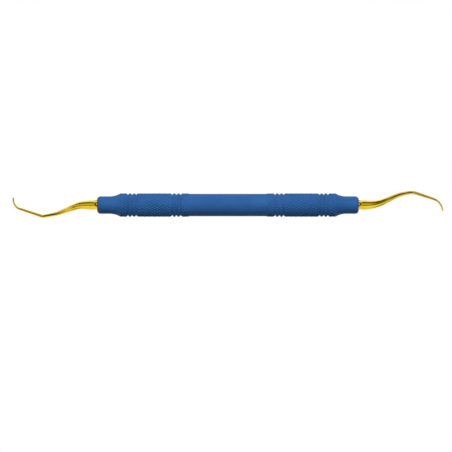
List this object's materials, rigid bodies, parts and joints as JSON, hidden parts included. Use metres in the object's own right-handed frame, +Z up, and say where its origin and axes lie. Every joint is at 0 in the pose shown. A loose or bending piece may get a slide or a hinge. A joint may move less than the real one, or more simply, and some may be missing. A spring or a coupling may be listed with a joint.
{
  "type": "periodontal hand scaler",
  "caption": "Slim double-ended dental scaler: a straight knurled blue resin handle with ring grooves and a bent gold-coated steel shank and curved blade bonded into each end.",
  "frame": {"origin": "the middle of the handle, on the handle's axis; the lowest line of the handle lies 4.75 mm below it, on the table", "axes": "+X along the handle's axis towards the right working end, +Y across it in the plane in which the shanks bend most, towards the side the right shank's second bend stands out on, +Z up from the table on which the scaler lies"},
  "size_m": [0.173, 0.0109, 0.0094],
  "materials": {
    "resin": "satin moulded blue resin",
    "coated_steel": "polished stainless steel with a gold-coloured titanium nitride coat",
    "adhesive": "cured epoxy adhesive"
  },
  "bodies": {
    "root": {"handle": "resin", "left_working_end": "coated_steel", "right_working_end": "coated_steel", "left_tang_bond": "adhesive", "right_tang_bond": "adhesive"}
  },
  "joints": []
}
